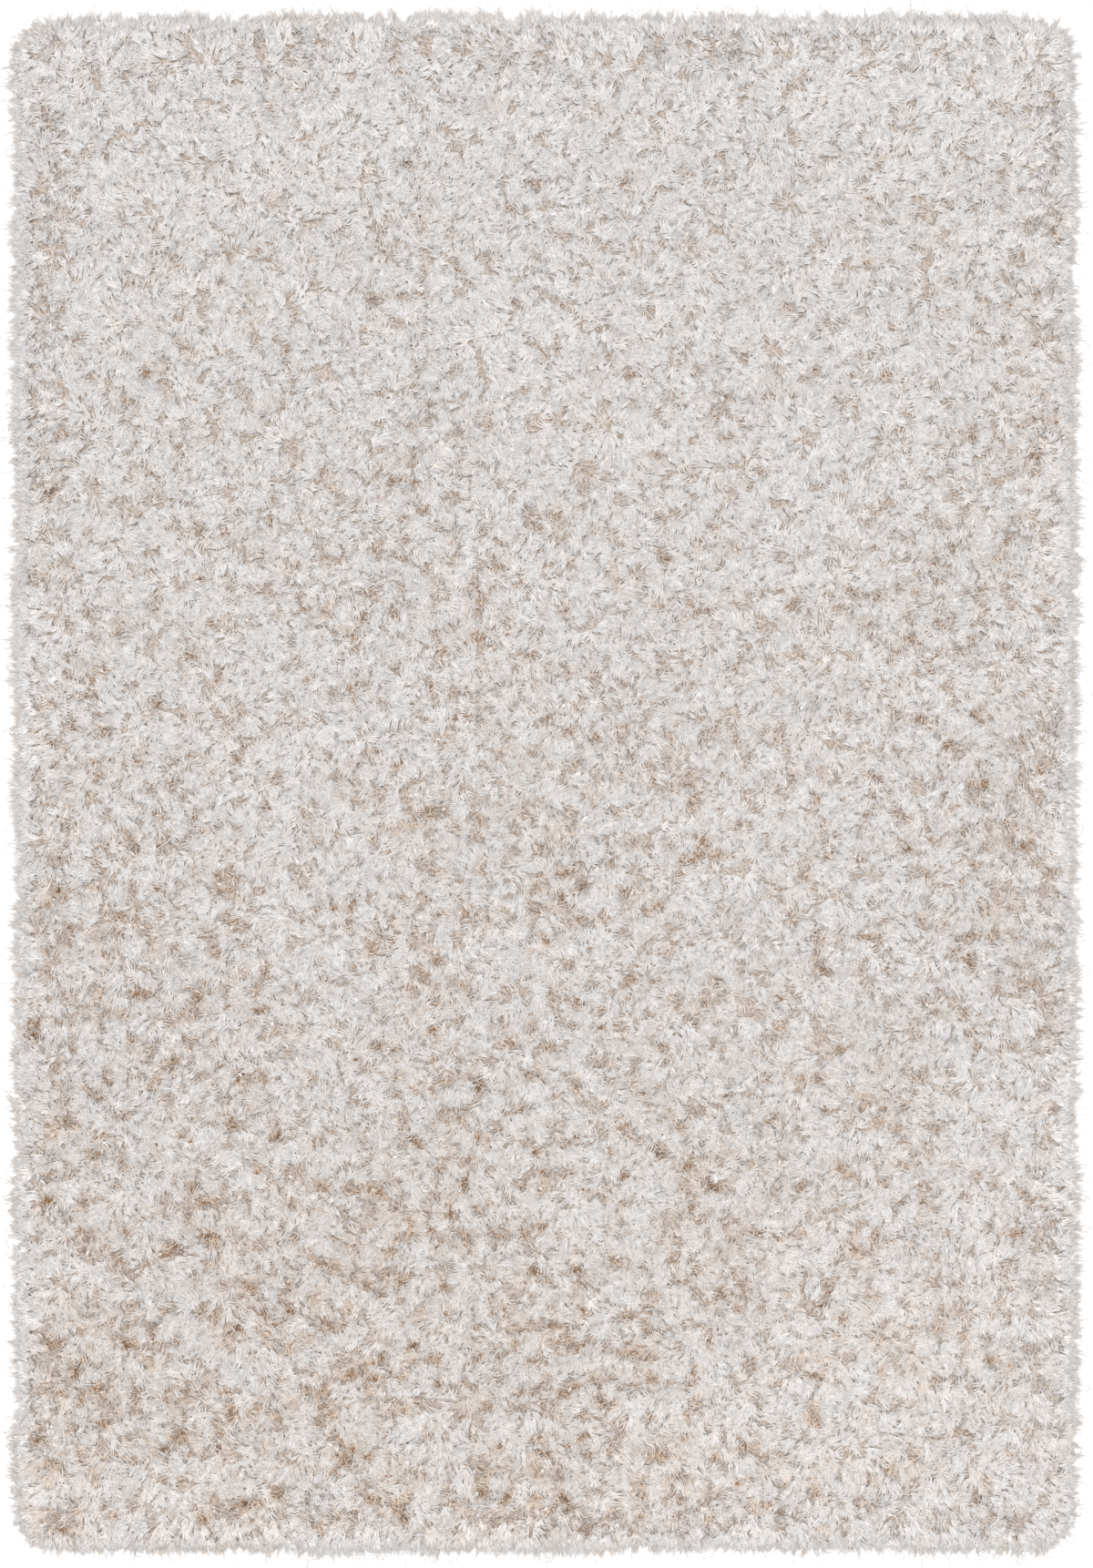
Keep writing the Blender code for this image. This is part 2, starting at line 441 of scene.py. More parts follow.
def yarn_material(name, roughness):
    """Ivory yarn: painted shade where it lies deep, paler and a little glossy at the top."""
    made, tree, shader = new_material(name, roughness)
    sockets = {
        title: node(tree, "Attribute", {}, attribute_name=title.lower()).outputs["Fac"]
        for title in YARN_VALUES
    }
    yarn = tree.nodes.new("ShaderNodeGroup")
    yarn.node_tree = yarn_nodes
    for title, value in sockets.items():
        tree.links.new(value, yarn.inputs[title])
    colour, streaks = yarn.outputs["Color"], yarn.outputs["Streaks"]
    finish_surface(tree, shader, colour, streaks, STREAK_HEIGHT, STREAK_RELIEF)
    return made


def unit(vectors):
    """The vectors at length 1."""
    return vectors / np.linalg.norm(vectors, axis=-1, keepdims=True)


def turned(ways, angle):
    """Level directions, turned by an angle each."""
    cos, sin = np.cos(angle), np.sin(angle)
    return np.stack([
        ways[:, 0] * cos - ways[:, 1] * sin,
        ways[:, 0] * sin + ways[:, 1] * cos,
    ], axis=-1)


def spine_points(root, lean, length, droop):
    """Four places along each lock's middle, from its root to its tip, and its direction.

    The lean says which way a yarn bends over, and how far: at 1 its tip has turned by
    the droop, in degrees.
    """
    amount = np.linalg.norm(lean, axis=1)
    way = lean / amount[:, None]
    spine = np.zeros((len(root), 4, 3))
    spine[:, 0, :2] = root
    spine[:, 0, 2] = CLOTH_TOP
    shares = (np.arange(3) + 0.5) / 3
    bends = amount[:, None] * shares**BEND_GROWTH * math.radians(droop)
    bends = np.clip(bends, *BEND_LIMITS)
    for i, share in enumerate(STEP_SHARES):
        step = share * length
        spine[:, i + 1, :2] = spine[:, i, :2] + (step * np.sin(bends[:, i]))[:, None] * way
        spine[:, i + 1, 2] = spine[:, i, 2] + step * np.cos(bends[:, i])
    return spine, way


def lock_points(spine, way, width, roll):
    """The corners of each lock, round its middle line."""
    count = len(spine)
    half = width[:, None] / 2
    steps = unit(np.diff(spine, axis=1))
    level = np.stack([-way[:, 1], way[:, 0], np.zeros(count)], axis=-1)
    sides = []
    normals = []
    at_middle = (unit(steps[:, 1] + steps[:, 2]), roll)
    at_tips = (steps[:, 2], TIP_ROLL * roll)
    for tangent, turn in (at_middle, at_tips):
        normal = np.cross(tangent, level)
        angle = turn[:, None]
        sides.append(level * np.cos(angle) + normal * np.sin(angle))
        normals.append(normal * np.cos(angle) - level * np.sin(angle))
    points = np.zeros((count, LOCK_CORNERS, 3))
    points[:, 0] = spine[:, 1]
    curl = rng.normal(0, CURL, (count, 1))
    for k in range(5):
        offset = -1 + k / 2
        ripple = rng.normal(0, RIPPLE, (count, 1)) + ARCH * (1 - offset**2)
        points[:, 1 + k] = spine[:, 2] + offset * half * sides[0] + ripple * normals[0]
    for k in range(4):
        offset = -0.75 + k / 2
        reach = rng.uniform(*TIP_REACHES, (count, 1))
        sway = curl + rng.normal(0, TIP_STRAY, (count, 1)) + TIP_SPREAD * offset * half
        lift = rng.normal(0, TIP_LIFT, (count, 1))
        tip = spine[:, 2] + reach * (spine[:, 3] - spine[:, 2])
        points[:, 6 + k] = tip + sway * sides[1] + lift * normals[1]
    return points


def fit_to_form(points):
    """Rounds the yarns over at the rim, as the pile's form does, and keeps them off the floor."""
    inset = read_grid(inset_grid, points[..., 0], points[..., 1])
    lift = np.maximum(points[..., 2] - FLOOR_GAP, 0)
    lift = np.where(lift > KNEE, KNEE + KNEE_SHARE * (lift - KNEE), lift)
    form = np.minimum(1, pile_top(np.maximum(inset, 0)) / PILE_HEIGHT)
    points[..., 2] = FLOOR_GAP + lift * form
    return points


def scattered(pitch_x, pitch_y, jitter):
    """Places in rows on the ground cloth, a little uneven."""
    across = np.arange(-half_x, half_x, pitch_x)
    along = np.arange(-half_y, half_y, pitch_y)
    x, y = (a.ravel() for a in np.meshgrid(across, along))
    x = x + rng.uniform(-jitter, jitter, x.shape) * pitch_x
    y = y + rng.uniform(-jitter, jitter, y.shape) * pitch_y
    on_cloth = read_grid(inset_grid, x, y) > ROOT_INSET
    return np.stack([x[on_cloth], y[on_cloth]], axis=-1)


def nearest(places, points, count=1):
    """For each point, which of the places lie nearest to it."""
    found = KDTree(len(places))
    for i, (px, py) in enumerate(places):
        found.insert((px, py, 0), i)
    found.balance()
    return np.array([[hit[1] for hit in found.find_n((x, y, 0), count)] for x, y in points])


def far_end(places):
    """0 over the near half of the rug, and from its middle up to 1 at its far end."""
    return np.clip(places[:, 1] / half_y, 0, 1)


def near_end(places):
    """0 over the far half of the rug, and from its middle up to 1 at its near end."""
    return np.clip(-places[:, 1] / half_y, 0, 1)


def right_side(places):
    """0 over the left half of the rug, and from its middle up to 1 at its right side."""
    return np.clip(places[:, 0] / half_x, 0, 1)


# The tufts lean in sweeps that a hand or a foot has left. They lie calmest at the far end
# and in the near right corner. A wander is an amount, and the spacing over which it turns.
CALM = 0.30
CALM_WANDER = (0.5, 0.10)
CALM_FAR_END = 0.55
CALM_CORNER = 0.55
CALM_STEADIES = 0.7
LEAN_STRAY = 0.65
SWEEPS = ((0.6, 0.045), (0.4, 0.12))
tufts = scattered(TUFT_PITCH, ROW_PITCH, ROOT_JITTER)
calm = CALM + wander(tufts, *CALM_WANDER) + CALM_FAR_END * far_end(tufts) ** 2
calm += CALM_CORNER * near_end(tufts) * right_side(tufts)
calm = np.clip(calm, 0, 1)
tuft_way = rng.normal(0, LEAN_STRAY, (len(tufts), 2)) * (1 - CALM_STEADIES * calm[:, None])
for sweep in SWEEPS:
    tuft_way[:, 0] += wander(tufts, *sweep)
    tuft_way[:, 1] += wander(tufts, *sweep)
tuft_way = unit(tuft_way)

# The partings lie between neighbouring tufts, and are fewest where the pile is calm. A
# parting's strength sets only how much painted shade it gets: less at the far end and on
# the near right, more at the near left.
PARTING_PITCHES = (0.029, 0.0235)
PARTING_JITTER = 0.45
PARTING_REACH = 0.0074
PARTING_SPREAD = 0.9
PARTING_INSET = 0.040
PARTING_ODDS = 0.80
PARTING_ODDS_WANDER = (0.35, 0.16)
FEWER_AT_FAR_END = 0.60
FEWER_IN_CORNER = 0.50
ODDS_BY_BORDER = (0.60, 0.55)
PARTING_TURN_STRAY = 0.25
PARTING_STRETCHES = (1.2, 2.4)
PARTING_SIZES = (0.40, 1.10)
PARTING_SIZE_POWER = 1.2
PARTING_STRENGTHS = (0.42, 0.98)
WEAKER_AT_FAR_END = 0.45
STRONGER_AT_NEAR_END = 0.25
WEAKER_AT_RIGHT = 2.2
PARTING_PUSH = 1.4
partings = scattered(*PARTING_PITCHES, PARTING_JITTER)
odds = PARTING_ODDS + wander(partings, *PARTING_ODDS_WANDER)
odds -= FEWER_AT_FAR_END * far_end(partings) ** 2
odds -= FEWER_IN_CORNER * near_end(partings) * right_side(partings)
odds *= read_grid(inset_grid, *partings.T) > PARTING_INSET
either_side = tufts[nearest(tufts, partings, 2)]
apart = unit(either_side[:, 1] - either_side[:, 0])
off_border = np.sum((partings - either_side.mean(axis=1)) * apart, axis=1)
partings = partings - off_border[:, None] * apart
apart_y = np.where(np.abs(apart[:, 1]) < 1e-6, 1e-6, apart[:, 1])
parting_turn = np.arctan(-apart[:, 0] / apart_y)
odds *= ODDS_BY_BORDER[0] + ODDS_BY_BORDER[1] * np.abs(apart[:, 1])
kept = rng.random(len(partings)) < odds
partings = partings[kept]
parting_turn = parting_turn[kept] + rng.normal(0, PARTING_TURN_STRAY, kept.sum())
parting_stretch = rng.uniform(*PARTING_STRETCHES, len(partings))
parting_size = rng.uniform(*PARTING_SIZES, len(partings)) ** PARTING_SIZE_POWER
parting_strength = rng.uniform(*PARTING_STRENGTHS, len(partings))
parting_strength *= 1 - WEAKER_AT_FAR_END * far_end(partings)
left_share = 1 - WEAKER_AT_RIGHT * right_side(partings)
parting_strength *= 1 + STRONGER_AT_NEAR_END * near_end(partings) * left_share

# Tufts differ a little in warmth and paleness at random, and are warmer towards the near
# end and cooler in the near right corner. Painted light makes them paler at the near end,
# and palest in the near right corner.
TINT = 0.18
TINT_WANDERS = ((0.15, 0.045), (0.08, 0.25))
TINT_STRAY = 0.14
WARMER_NEARER = 0.24
COOLER_IN_CORNER = 0.18
TONE = 0.985
TONE_WANDER = (0.014, 0.06)
TONE_STRAY = 0.015
TONE_BANDS = (0.022, 0.03)
BAND_SQUEEZE = np.array([0.3, 1.0])
WARM_IS_DARKER = 0.08
MIDDLE_TINT = 0.4
PAINTED_LIGHT_IN_CORNER = 0.15
PAINTED_LIGHT_AT_NEAR_END = 0.06
LENGTH_WANDER = (0.08, 0.03)
tuft_tint = TINT + wander(tufts, *TINT_WANDERS[0]) + wander(tufts, *TINT_WANDERS[1])
tuft_tint += rng.normal(0, TINT_STRAY, len(tufts)) - WARMER_NEARER * tufts[:, 1] / half_y
tuft_tone = TONE + wander(tufts, *TONE_WANDER) + rng.normal(0, TONE_STRAY, len(tufts))
tuft_tone += wander(tufts * BAND_SQUEEZE, *TONE_BANDS)
tuft_tone -= WARM_IS_DARKER * (tuft_tint - MIDDLE_TINT)
# Painted light: paler in the near right corner and towards the near end.
tuft_tone += PAINTED_LIGHT_IN_CORNER * near_end(tufts) ** 2 * right_side(tufts)
tuft_tone += PAINTED_LIGHT_AT_NEAR_END * near_end(tufts) ** 3
tuft_tint -= COOLER_IN_CORNER * near_end(tufts) * right_side(tufts)
tuft_length = LOCK_LENGTH * (1 + wander(tufts, *LENGTH_WANDER))

# How deep in a parting each place on the rug lies: 0 away from them, and up to the
# parting's strength in its middle. It sets where painted shade falls.
WINDOW = 10
cell_x, cell_y = np.meshgrid(grid_x, grid_y)
in_parting = np.zeros(inset_grid.shape)
for (px, py), turn, stretch, size, strength in zip(
        partings, parting_turn, parting_stretch, parting_size, parting_strength):
    i, j = int((py - grid_y[0]) / GRID_STEP), int((px - grid_x[0]) / GRID_STEP)
    near = (slice(i - WINDOW, i + WINDOW + 1), slice(j - WINDOW, j + WINDOW + 1))
    dx, dy = cell_x[near] - px, cell_y[near] - py
    along = (dx * math.cos(turn) + dy * math.sin(turn)) / stretch
    across = dy * math.cos(turn) - dx * math.sin(turn)
    spread = PARTING_SPREAD * PARTING_REACH * size
    closeness = strength * np.exp(-(along**2 + across**2) / spread**2)
    in_parting[near] = np.maximum(in_parting[near], closeness)


def blurred(values, reach):
    """The grid's values, averaged over squares of that many places each way, twice."""
    width = 2 * reach + 1
    for _ in range(2):
        for axis in (0, 1):
            values = sum(np.roll(values, k, axis=axis) for k in range(-reach, reach + 1)) / width
    return values


def yarn_way(roots, stray):
    """The direction in which the yarn lies over at each root, and which tuft it is of."""
    tuft = nearest(tufts, roots)[:, 0]
    own = nearest(partings, roots)[:, 0]
    turn = parting_turn[own]
    away = turned(roots - partings[own], -turn)
    away[:, 0] /= parting_stretch[own]
    away = turned(away, turn)
    distance = np.linalg.norm(away, axis=1) / (PARTING_REACH * parting_size[own])
    push = PARTING_PUSH * np.exp(-distance**2)[:, None]
    way = unit(tuft_way[tuft] + push * unit(away))
    from_tuft = roots - tufts[tuft]
    aside = way[:, 0] * from_tuft[:, 1] - way[:, 1] * from_tuft[:, 0]
    way = turned(way, SPLAY * aside)
    return unit(way + rng.normal(0, stray, way.shape)), tuft


# The outermost tufts have none beside them to hold them up, so they lean out over the rim.
PULL_FROM = 0.025
PULL_OVER = 0.070
PULL_GROWTH = 1.5
PULL_TAKES = 0.6
PULL_GIVES = 0.75


def towards_rim(roots, lean):
    """The lean, with the pull outwards that it has near the rim."""
    inset = read_grid(inset_grid, *roots.T)
    pull = np.clip(1 - (inset - PULL_FROM) / PULL_OVER, 0, 1)[:, None] ** PULL_GROWTH
    out = np.stack(outward(*roots.T), axis=-1)
    return lean * (1 - PULL_TAKES * pull) + PULL_GIVES * pull * out


roots = scattered(LOCK_PITCH, LOCK_PITCH, LOCK_JITTER)
lock_count = len(roots)
lock_way, own_tuft = yarn_way(roots, LOCK_STRAY)
roots += CLUMPING * (tufts[own_tuft] - roots)
lock_lean = towards_rim(roots, lock_way * rng.uniform(*LOCK_LEANS, (lock_count, 1)))
lock_length = tuft_length[own_tuft] * rng.uniform(*LOCK_LENGTHS, lock_count)
top_points = fit_to_form(lock_points(
    *spine_points(roots, lock_lean, lock_length, DROOP),
    LOCK_WIDTH * rng.uniform(*LOCK_WIDTHS, lock_count),
    rng.normal(0, LOCK_ROLL, lock_count),
))

# Locks by a parting get painted shade: warmer and a little darker than the rest.
PAINTED_WARMTH_BY_PARTING = 1.35
PAINTED_SHADE_BY_PARTING = 0.06
LOCK_TINT_STRAY = 0.08
LOCK_TONE = 1.01
LOCK_TONES = (0.95, 1.03)
middles = top_points[:, MIDDLE, :2]
lock_parting = read_grid(blurred(in_parting, 1), *middles.T)
top_tint = tuft_tint[own_tuft] + PAINTED_WARMTH_BY_PARTING * lock_parting
top_tint = np.clip(top_tint + rng.normal(0, LOCK_TINT_STRAY, lock_count), 0, 1)
top_tone = tuft_tone[own_tuft] * rng.uniform(*LOCK_TONES, lock_count)
top_tone *= LOCK_TONE - PAINTED_SHADE_BY_PARTING * lock_parting

# Inside the rim the yarns lie over flat, and painted light makes them paler, most at the
# near end. Over the rim itself they turn down, away from it, and painted shade darkens them.
FLAT_AT = 0.060
FLAT_OVER = 0.045
FLAT_PAINTED_LIGHT = 0.05
FLAT_PAINTED_LIGHT_AT_NEAR_END = 0.13
FLAT_PAINTED_LIGHT_AT_RIGHT = 0.03
PALEST = 1.07
TURNED_FROM = 0.032
TURNED_OVER = 0.012
TURNED_PAINTED_SHADE = 0.15
lock_inset = read_grid(inset_grid, *middles.T)
flat = np.clip(1 - np.abs(lock_inset - FLAT_AT) / FLAT_OVER, 0, 1)
paler = FLAT_PAINTED_LIGHT + FLAT_PAINTED_LIGHT_AT_NEAR_END * near_end(roots) ** 4
paler += FLAT_PAINTED_LIGHT_AT_RIGHT * right_side(roots) ** 4
top_tone = np.minimum(top_tone * (1 + flat * paler), PALEST)
top_tone *= 1 - TURNED_PAINTED_SHADE * np.clip((TURNED_FROM - lock_inset) / TURNED_OVER, 0, 1)

# The height of the pile over the rug. Yarn that lies well below it is in a hollow, where
# painted shade makes it darker and warmer.
HOLLOW_FROM = 0.002
HOLLOW_DEPTH = 0.008
HOLLOW_PAINTED_WARMTH = 0.75
WARMTH_GROWTH = 1.5
WARMTH_UNPARTED = 0.35
SHADE_UNPARTED = 0.12
LOTS = 200
surface = np.full(inset_grid.shape, CLOTH_TOP)
column = ((top_points[..., 0] - grid_x[0]) / GRID_STEP).round().astype(int)
row = ((top_points[..., 1] - grid_y[0]) / GRID_STEP).round().astype(int)
np.maximum.at(surface, (row, column), top_points[..., 2])
surface_round = blurred(surface, 2)


def hollow_of(points):
    """0 at the pile's surface, and 1 well below it."""
    below = read_grid(surface_round, points[..., 0], points[..., 1]) - points[..., 2]
    return np.clip((below - HOLLOW_FROM) / HOLLOW_DEPTH, 0, 1)


CELL_MARGIN = 0.1


def bake_places(count, across, along):
    """A small square of the baked picture for each of so many slips of yarn."""
    cells = math.ceil(math.sqrt(count))
    cell = np.stack([np.arange(count) % cells, np.arange(count) // cells], axis=-1)
    inside = CELL_MARGIN + (1 - 2 * CELL_MARGIN) * np.stack([across, along], axis=-1)
    return ((cell[:, None] + inside) / cells).reshape(-1, 2)


def add_locks(name, points, tint, tone, material):
    """One piece of many locks, with painted shade by how deep each corner lies in the pile."""
    count = len(points)
    faces = (np.arange(count)[:, None, None] * LOCK_CORNERS + LOCK_FACES).reshape(-1, 3)
    hollow = hollow_of(points)
    parted = read_grid(in_parting, points[..., 0], points[..., 1])
    # Painted shade: yarn in a hollow is warmer, most of all in a parting.
    warmth = HOLLOW_PAINTED_WARMTH * np.clip(WARMTH_GROWTH * hollow, 0, 1)
    warmth *= WARMTH_UNPARTED + (1 - WARMTH_UNPARTED) * parted
    values = {
        "along": np.tile(ALONG, count),
        "across": np.tile(ACROSS, count),
        "tint": np.clip(tint[:, None] + warmth, 0, 1),
        "tone": np.repeat(tone, LOCK_CORNERS),
        "lot": np.repeat(rng.uniform(0, LOTS, count), LOCK_CORNERS),
        "hollow": hollow * (SHADE_UNPARTED + (1 - SHADE_UNPARTED) * parted),
        "parted": parted,
    }
    places = bake_places(count, ACROSS, ALONG)
    return add_piece(name, points.reshape(-1, 3), faces, material, values, places)


yarn = yarn_material("pile_yarn", YARN_ROUGHNESS)
pile_pieces = [pile_depth]
edges = np.linspace(0, lock_count, TUFT_PIECES + 1).astype(int)
for i in range(TUFT_PIECES):
    part = slice(edges[i], edges[i + 1])
    pile_pieces.append(add_locks(
        f"pile_tufts_{i + 1}", top_points[part], top_tint[part], top_tone[part], yarn
    ))
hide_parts("pile")

# ---- Lower yarn ----
# The shorter yarns of the same tufts, pressed down every way under the ones on top. They
# close the pile, so that a parting shows yarn and only here and there the mass below.

UNDER_LOCKS = 15000
UNDER_LEANS = (0.90, 1.0)
UNDER_LENGTHS = (0.043, 0.0475)
UNDER_WIDTHS = (1.5, 2.2)
UNDER_ROLL = 0.1
# Painted shade: the lower yarn is a little warmer and darker than the top, and warmer and darker
# still in a parting.
UNDER_TINTS = (0.2, 0.6)
UNDER_TONES = (0.94, 1.0)
UNDER_PARTED_PAINTED_WARMTH = 0.8
UNDER_PARTED_PAINTED_SHADE = 0.38

under_roots = rng.uniform((-half_x, -half_y), (half_x, half_y), (UNDER_LOCKS, 2))
under_roots = under_roots[read_grid(inset_grid, *under_roots.T) > ROOT_INSET]
under_count = len(under_roots)
under_way = unit(rng.normal(0, 1, (under_count, 2)))
under_lean = towards_rim(under_roots, under_way * rng.uniform(*UNDER_LEANS, (under_count, 1)))
under_length = rng.uniform(*UNDER_LENGTHS, under_count)
under_points = fit_to_form(lock_points(
    *spine_points(under_roots, under_lean, under_length, DROOP),
    LOCK_WIDTH * rng.uniform(*UNDER_WIDTHS, under_count),
    rng.normal(0, UNDER_ROLL, under_count),
))
under_parted = read_grid(in_parting, *under_points[:, MIDDLE, :2].T)
# Painted shade in partings: warmer and darker lower yarn.
under_tint = rng.uniform(*UNDER_TINTS, under_count) + UNDER_PARTED_PAINTED_WARMTH * under_parted
under_tint = np.clip(under_tint, 0, 1)
under_tone = rng.uniform(*UNDER_TONES, under_count) * (1 - UNDER_PARTED_PAINTED_SHADE * under_parted)
pile_pieces.append(add_locks("pile_under", under_points, under_tint, under_tone, yarn))

# ---- Rim ----
# The outermost tufts have nothing to lean on: they fall outwards over the cloth's edge and
# droop to the floor, so that the rug ends in a soft, uneven fringe of yarn ends.

RIM_LOCKS = 7500
RIM_ROOTS = (0.0205, 0.034)
RIM_LEANS = (0.75, 1.1)
RIM_LENGTHS = (0.040, 0.052)
RIM_WIDTHS = (0.5, 1.0)
RIM_ROLL = 0.25
RIM_DROOP = 140
RIM_FALL = 0.0025
RIM_REACH = 0.005
RIM_REACH_STRAY = 0.0075
RIM_STRAY_LIMITS = (-0.016, 0.012)
RIM_LOBES = ((0.006, 0.030), (0.004, 0.012))
RIM_SWAY_WANDER = (0.55, 0.045)
RIM_SWAY_STRAY = 0.42
RIM_FALL_SHARES = (0, 0.2, 0.5, 1)
# The rim's yarn is painted warmer and darker than the tufts, as painted shade on ends that turn
# down away from the lamp.
RIM_TINT = 0.35
RIM_TINT_WANDER = (0.3, 0.06)
RIM_TINT_STRAY = 0.1
RIM_SHADED_TONES = (0.80, 0.94)

ring_steps = np.roll(outline, -1, axis=0) - outline
ring_lengths = np.hypot(*ring_steps.T)
ring_at = np.concatenate([[0], np.cumsum(ring_lengths)])
rim_at = rng.uniform(0, ring_at[-1], RIM_LOCKS)
rim_side = np.clip(np.searchsorted(ring_at, rim_at) - 1, 0, len(outline) - 1)
rim_share = ((rim_at - ring_at[rim_side]) / ring_lengths[rim_side])[:, None]
rim_edge = outline[rim_side] + rim_share * ring_steps[rim_side]
rim_out = unit(np.stack([ring_steps[rim_side, 1], -ring_steps[rim_side, 0]], axis=-1))
rim_depth = rng.uniform(*RIM_ROOTS, RIM_LOCKS)
rim_roots = rim_edge - rim_depth[:, None] * rim_out
rim_sway = wander(rim_edge, *RIM_SWAY_WANDER) + rng.normal(0, RIM_SWAY_STRAY, RIM_LOCKS)
rim_lean = turned(rim_out, rim_sway) * rng.uniform(*RIM_LEANS, (RIM_LOCKS, 1))
rim_length = rng.uniform(*RIM_LENGTHS, RIM_LOCKS)
rim_spine, rim_way = spine_points(rim_roots, rim_lean, rim_length, RIM_DROOP)
reached = np.linalg.norm(rim_spine[:, 3, :2] - rim_roots, axis=1)
wanted = rim_depth + RIM_REACH
wanted += np.clip(rng.normal(0, RIM_REACH_STRAY, RIM_LOCKS), *RIM_STRAY_LIMITS)
for lobes in RIM_LOBES:
    wanted += wander(rim_edge, *lobes)
rim_spine[..., :2] -= rim_roots[:, None]
rim_spine[..., :2] *= (wanted / reached)[:, None, None]
rim_spine[..., :2] += rim_roots[:, None]
fallen = rng.uniform(0, 1, (RIM_LOCKS, 1)) * RIM_FALL_SHARES
rim_spine[..., 2] += fallen * (RIM_FALL - rim_spine[..., 2])
rim_points = fit_to_form(lock_points(
    rim_spine,
    rim_way,
    LOCK_WIDTH * rng.uniform(*RIM_WIDTHS, RIM_LOCKS),
    rng.normal(0, RIM_ROLL, RIM_LOCKS),
))
# Painted shade: warmer and darker rim yarn.
rim_tint = RIM_TINT + wander(rim_edge, *RIM_TINT_WANDER)
rim_tint = np.clip(rim_tint + rng.normal(0, RIM_TINT_STRAY, RIM_LOCKS), 0, 1)
rim_tone = rng.uniform(*RIM_SHADED_TONES, RIM_LOCKS)
pile_pieces.append(add_locks("pile_rim", rim_points, rim_tint, rim_tone, yarn))

# ---- Loose strands and glints ----
# Single yarns that have worked loose lie across the tufts. Short slips of glossy yarn lie
# level here and there, painted paler and whiter than the rest as painted highlights, and
# their gloss catches the lamp as small white glints.

STRANDS = 5000
RIM_STRANDS = 1500
RIM_STRAND_TURN = 0.6
RIM_STRAND_SHARE = 0.6
STRAND_STATIONS = 5
STRAND_CURL = 0.9
CURLED_SHARE = 0.4
CURLED_TIMES = 3.5
STRAND_LENGTHS = (0.012, 0.030)
STRAND_WIDTHS = (0.0010, 0.0016)
STRAND_RISES = (0.25, 0.10, -0.05, -0.25)
STRAND_TAPER = np.array([0.8, 1.0, 1.0, 0.8, 0.3]) / 2
STRAND_LIFT = 0.0015
STRAND_TINTS = (0, 0.4)
STRAND_TONES = (1.0, 1.06)


def add_slips(name, points, faces, across, along, tint, tone, material):
    """One piece of many small slips of yarn, all alike, on top of the pile."""
    count, corners = points.shape[:2]
    values = {
        "along": np.tile(along, count),
        "across": np.tile(across, count),
        "tint": np.repeat(tint, corners),
        "tone": np.repeat(tone, corners),
        "lot": np.repeat(rng.uniform(0, LOTS, count), corners),
        "hollow": np.zeros(count * corners),
        "parted": np.zeros(count * corners),
    }
    every = (np.arange(count)[:, None, None] * corners + faces).reshape(-1, faces.shape[1])
    places = bake_places(count, across, along)
    return add_piece(name, points.reshape(-1, 3), every, material, values, places)


def add_strands():
    """Single curved yarns, each from the middle of a lock, or from the rim for the first."""
    own = rng.integers(0, lock_count, STRANDS)
    start = top_points[own, MIDDLE] + (0, 0, STRAND_LIFT)
    turn = rng.uniform(0, 2 * math.pi, STRANDS)
    rim_own = rng.integers(0, RIM_LOCKS, RIM_STRANDS)
    start[:RIM_STRANDS] = rim_points[rim_own, RIGHT_TIP]
    out = np.arctan2(rim_out[rim_own, 1], rim_out[rim_own, 0])
    turn[:RIM_STRANDS] = out + rng.normal(0, RIM_STRAND_TURN, RIM_STRANDS)
    curled = np.where(rng.random(STRANDS) < CURLED_SHARE, CURLED_TIMES, 1.0)
    curl = rng.normal(0, STRAND_CURL, STRANDS) * curled
    step = rng.uniform(*STRAND_LENGTHS, STRANDS) / (STRAND_STATIONS - 1)
    step[:RIM_STRANDS] *= RIM_STRAND_SHARE
    width = rng.uniform(*STRAND_WIDTHS, STRANDS)
    spine = np.zeros((STRANDS, STRAND_STATIONS, 3))
    spine[:, 0] = start
    side = np.zeros(spine.shape)
    for i in range(STRAND_STATIONS):
        heading = turn + curl * i / (STRAND_STATIONS - 1)
        ahead = np.stack([np.cos(heading), np.sin(heading)], axis=-1)
        side[:, i, 0], side[:, i, 1] = -ahead[:, 1], ahead[:, 0]
        if i < STRAND_STATIONS - 1:
            spine[:, i + 1, :2] = spine[:, i, :2] + step[:, None] * ahead
            spine[:, i + 1, 2] = spine[:, i, 2] + STRAND_RISES[i] * step
    offset = side * STRAND_TAPER[None, :, None] * width[:, None, None]
    points = fit_to_form(np.concatenate([spine - offset, spine + offset], axis=1))
    faces = np.arange(STRAND_STATIONS - 1)[:, None]
    faces = faces + (0, 1, STRAND_STATIONS + 1, STRAND_STATIONS)
    along = np.tile(np.linspace(0, 1, STRAND_STATIONS), 2)
    across = np.repeat([0.0, 1.0], STRAND_STATIONS)
    tint, tone = rng.uniform(*STRAND_TINTS, STRANDS), rng.uniform(*STRAND_TONES, STRANDS)
    return add_slips("pile_strands", points, faces, across, along, tint, tone, yarn)


GLINTS = 5200
GLINT_LENGTHS = (0.0020, 0.0060)
GLINT_WIDTHS = (0.0008, 0.0019)
GLINT_SLOPE = 0.0007
GLINT_TILT = 0.08
GLINT_LIFT = 0.002
GLINT_AHEAD = (-0.002, 0.005)
GLINT_ASIDE = (-0.002, 0.002)
# Painted highlights: glints are paler and whiter than the yarn round them.
GLINT_TINTS = (0, 0.15)
GLINT_TONES = (0.99, 1.05)
GLINT_ROUGHNESS = 0.25


